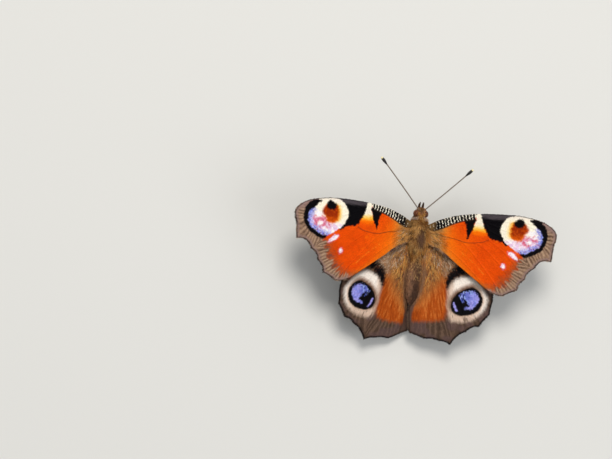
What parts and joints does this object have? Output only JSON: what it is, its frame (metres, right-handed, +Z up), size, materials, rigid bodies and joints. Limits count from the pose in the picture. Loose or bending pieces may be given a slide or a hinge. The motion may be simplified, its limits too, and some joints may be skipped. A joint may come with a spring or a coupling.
{
  "type": "butterfly",
  "caption": "Life-size peacock butterfly at rest with spread wings: orange-red forewings, rust hindwings, eyespots near the wing tips, slim furry body, clubbed feelers.",
  "frame": {"origin": "middle of the underside of the box round the whole model, on the floor", "axes": "+Y towards the head, +X to the animal's right, +Z up"},
  "size_m": [0.0586, 0.0398, 0.0158],
  "materials": {
    "forewing": "matte orange-red scales",
    "hindwing": "matte rust-brown scales",
    "fur": "soft golden-brown hair",
    "dark_skin": "dark satin skin of legs, feelers and tongue",
    "eye": "glossy dark brown facets"
  },
  "bodies": {
    "root": {"head": "fur", "neck": "fur", "thorax": "fur", "abdomen": "fur", "eye_left": "eye", "eye_right": "eye", "palp_left": "fur", "palp_right": "fur", "antenna_left": "dark_skin", "antenna_right": "dark_skin", "proboscis": "dark_skin", "foreleg_left": "fur", "foreleg_right": "fur", "midleg_left": "dark_skin", "midleg_right": "dark_skin", "hindleg_left": "dark_skin", "hindleg_right": "dark_skin", "forewing_left": "forewing", "forewing_right": "forewing", "hindwing_left": "hindwing", "hindwing_right": "hindwing"}
  },
  "joints": []
}
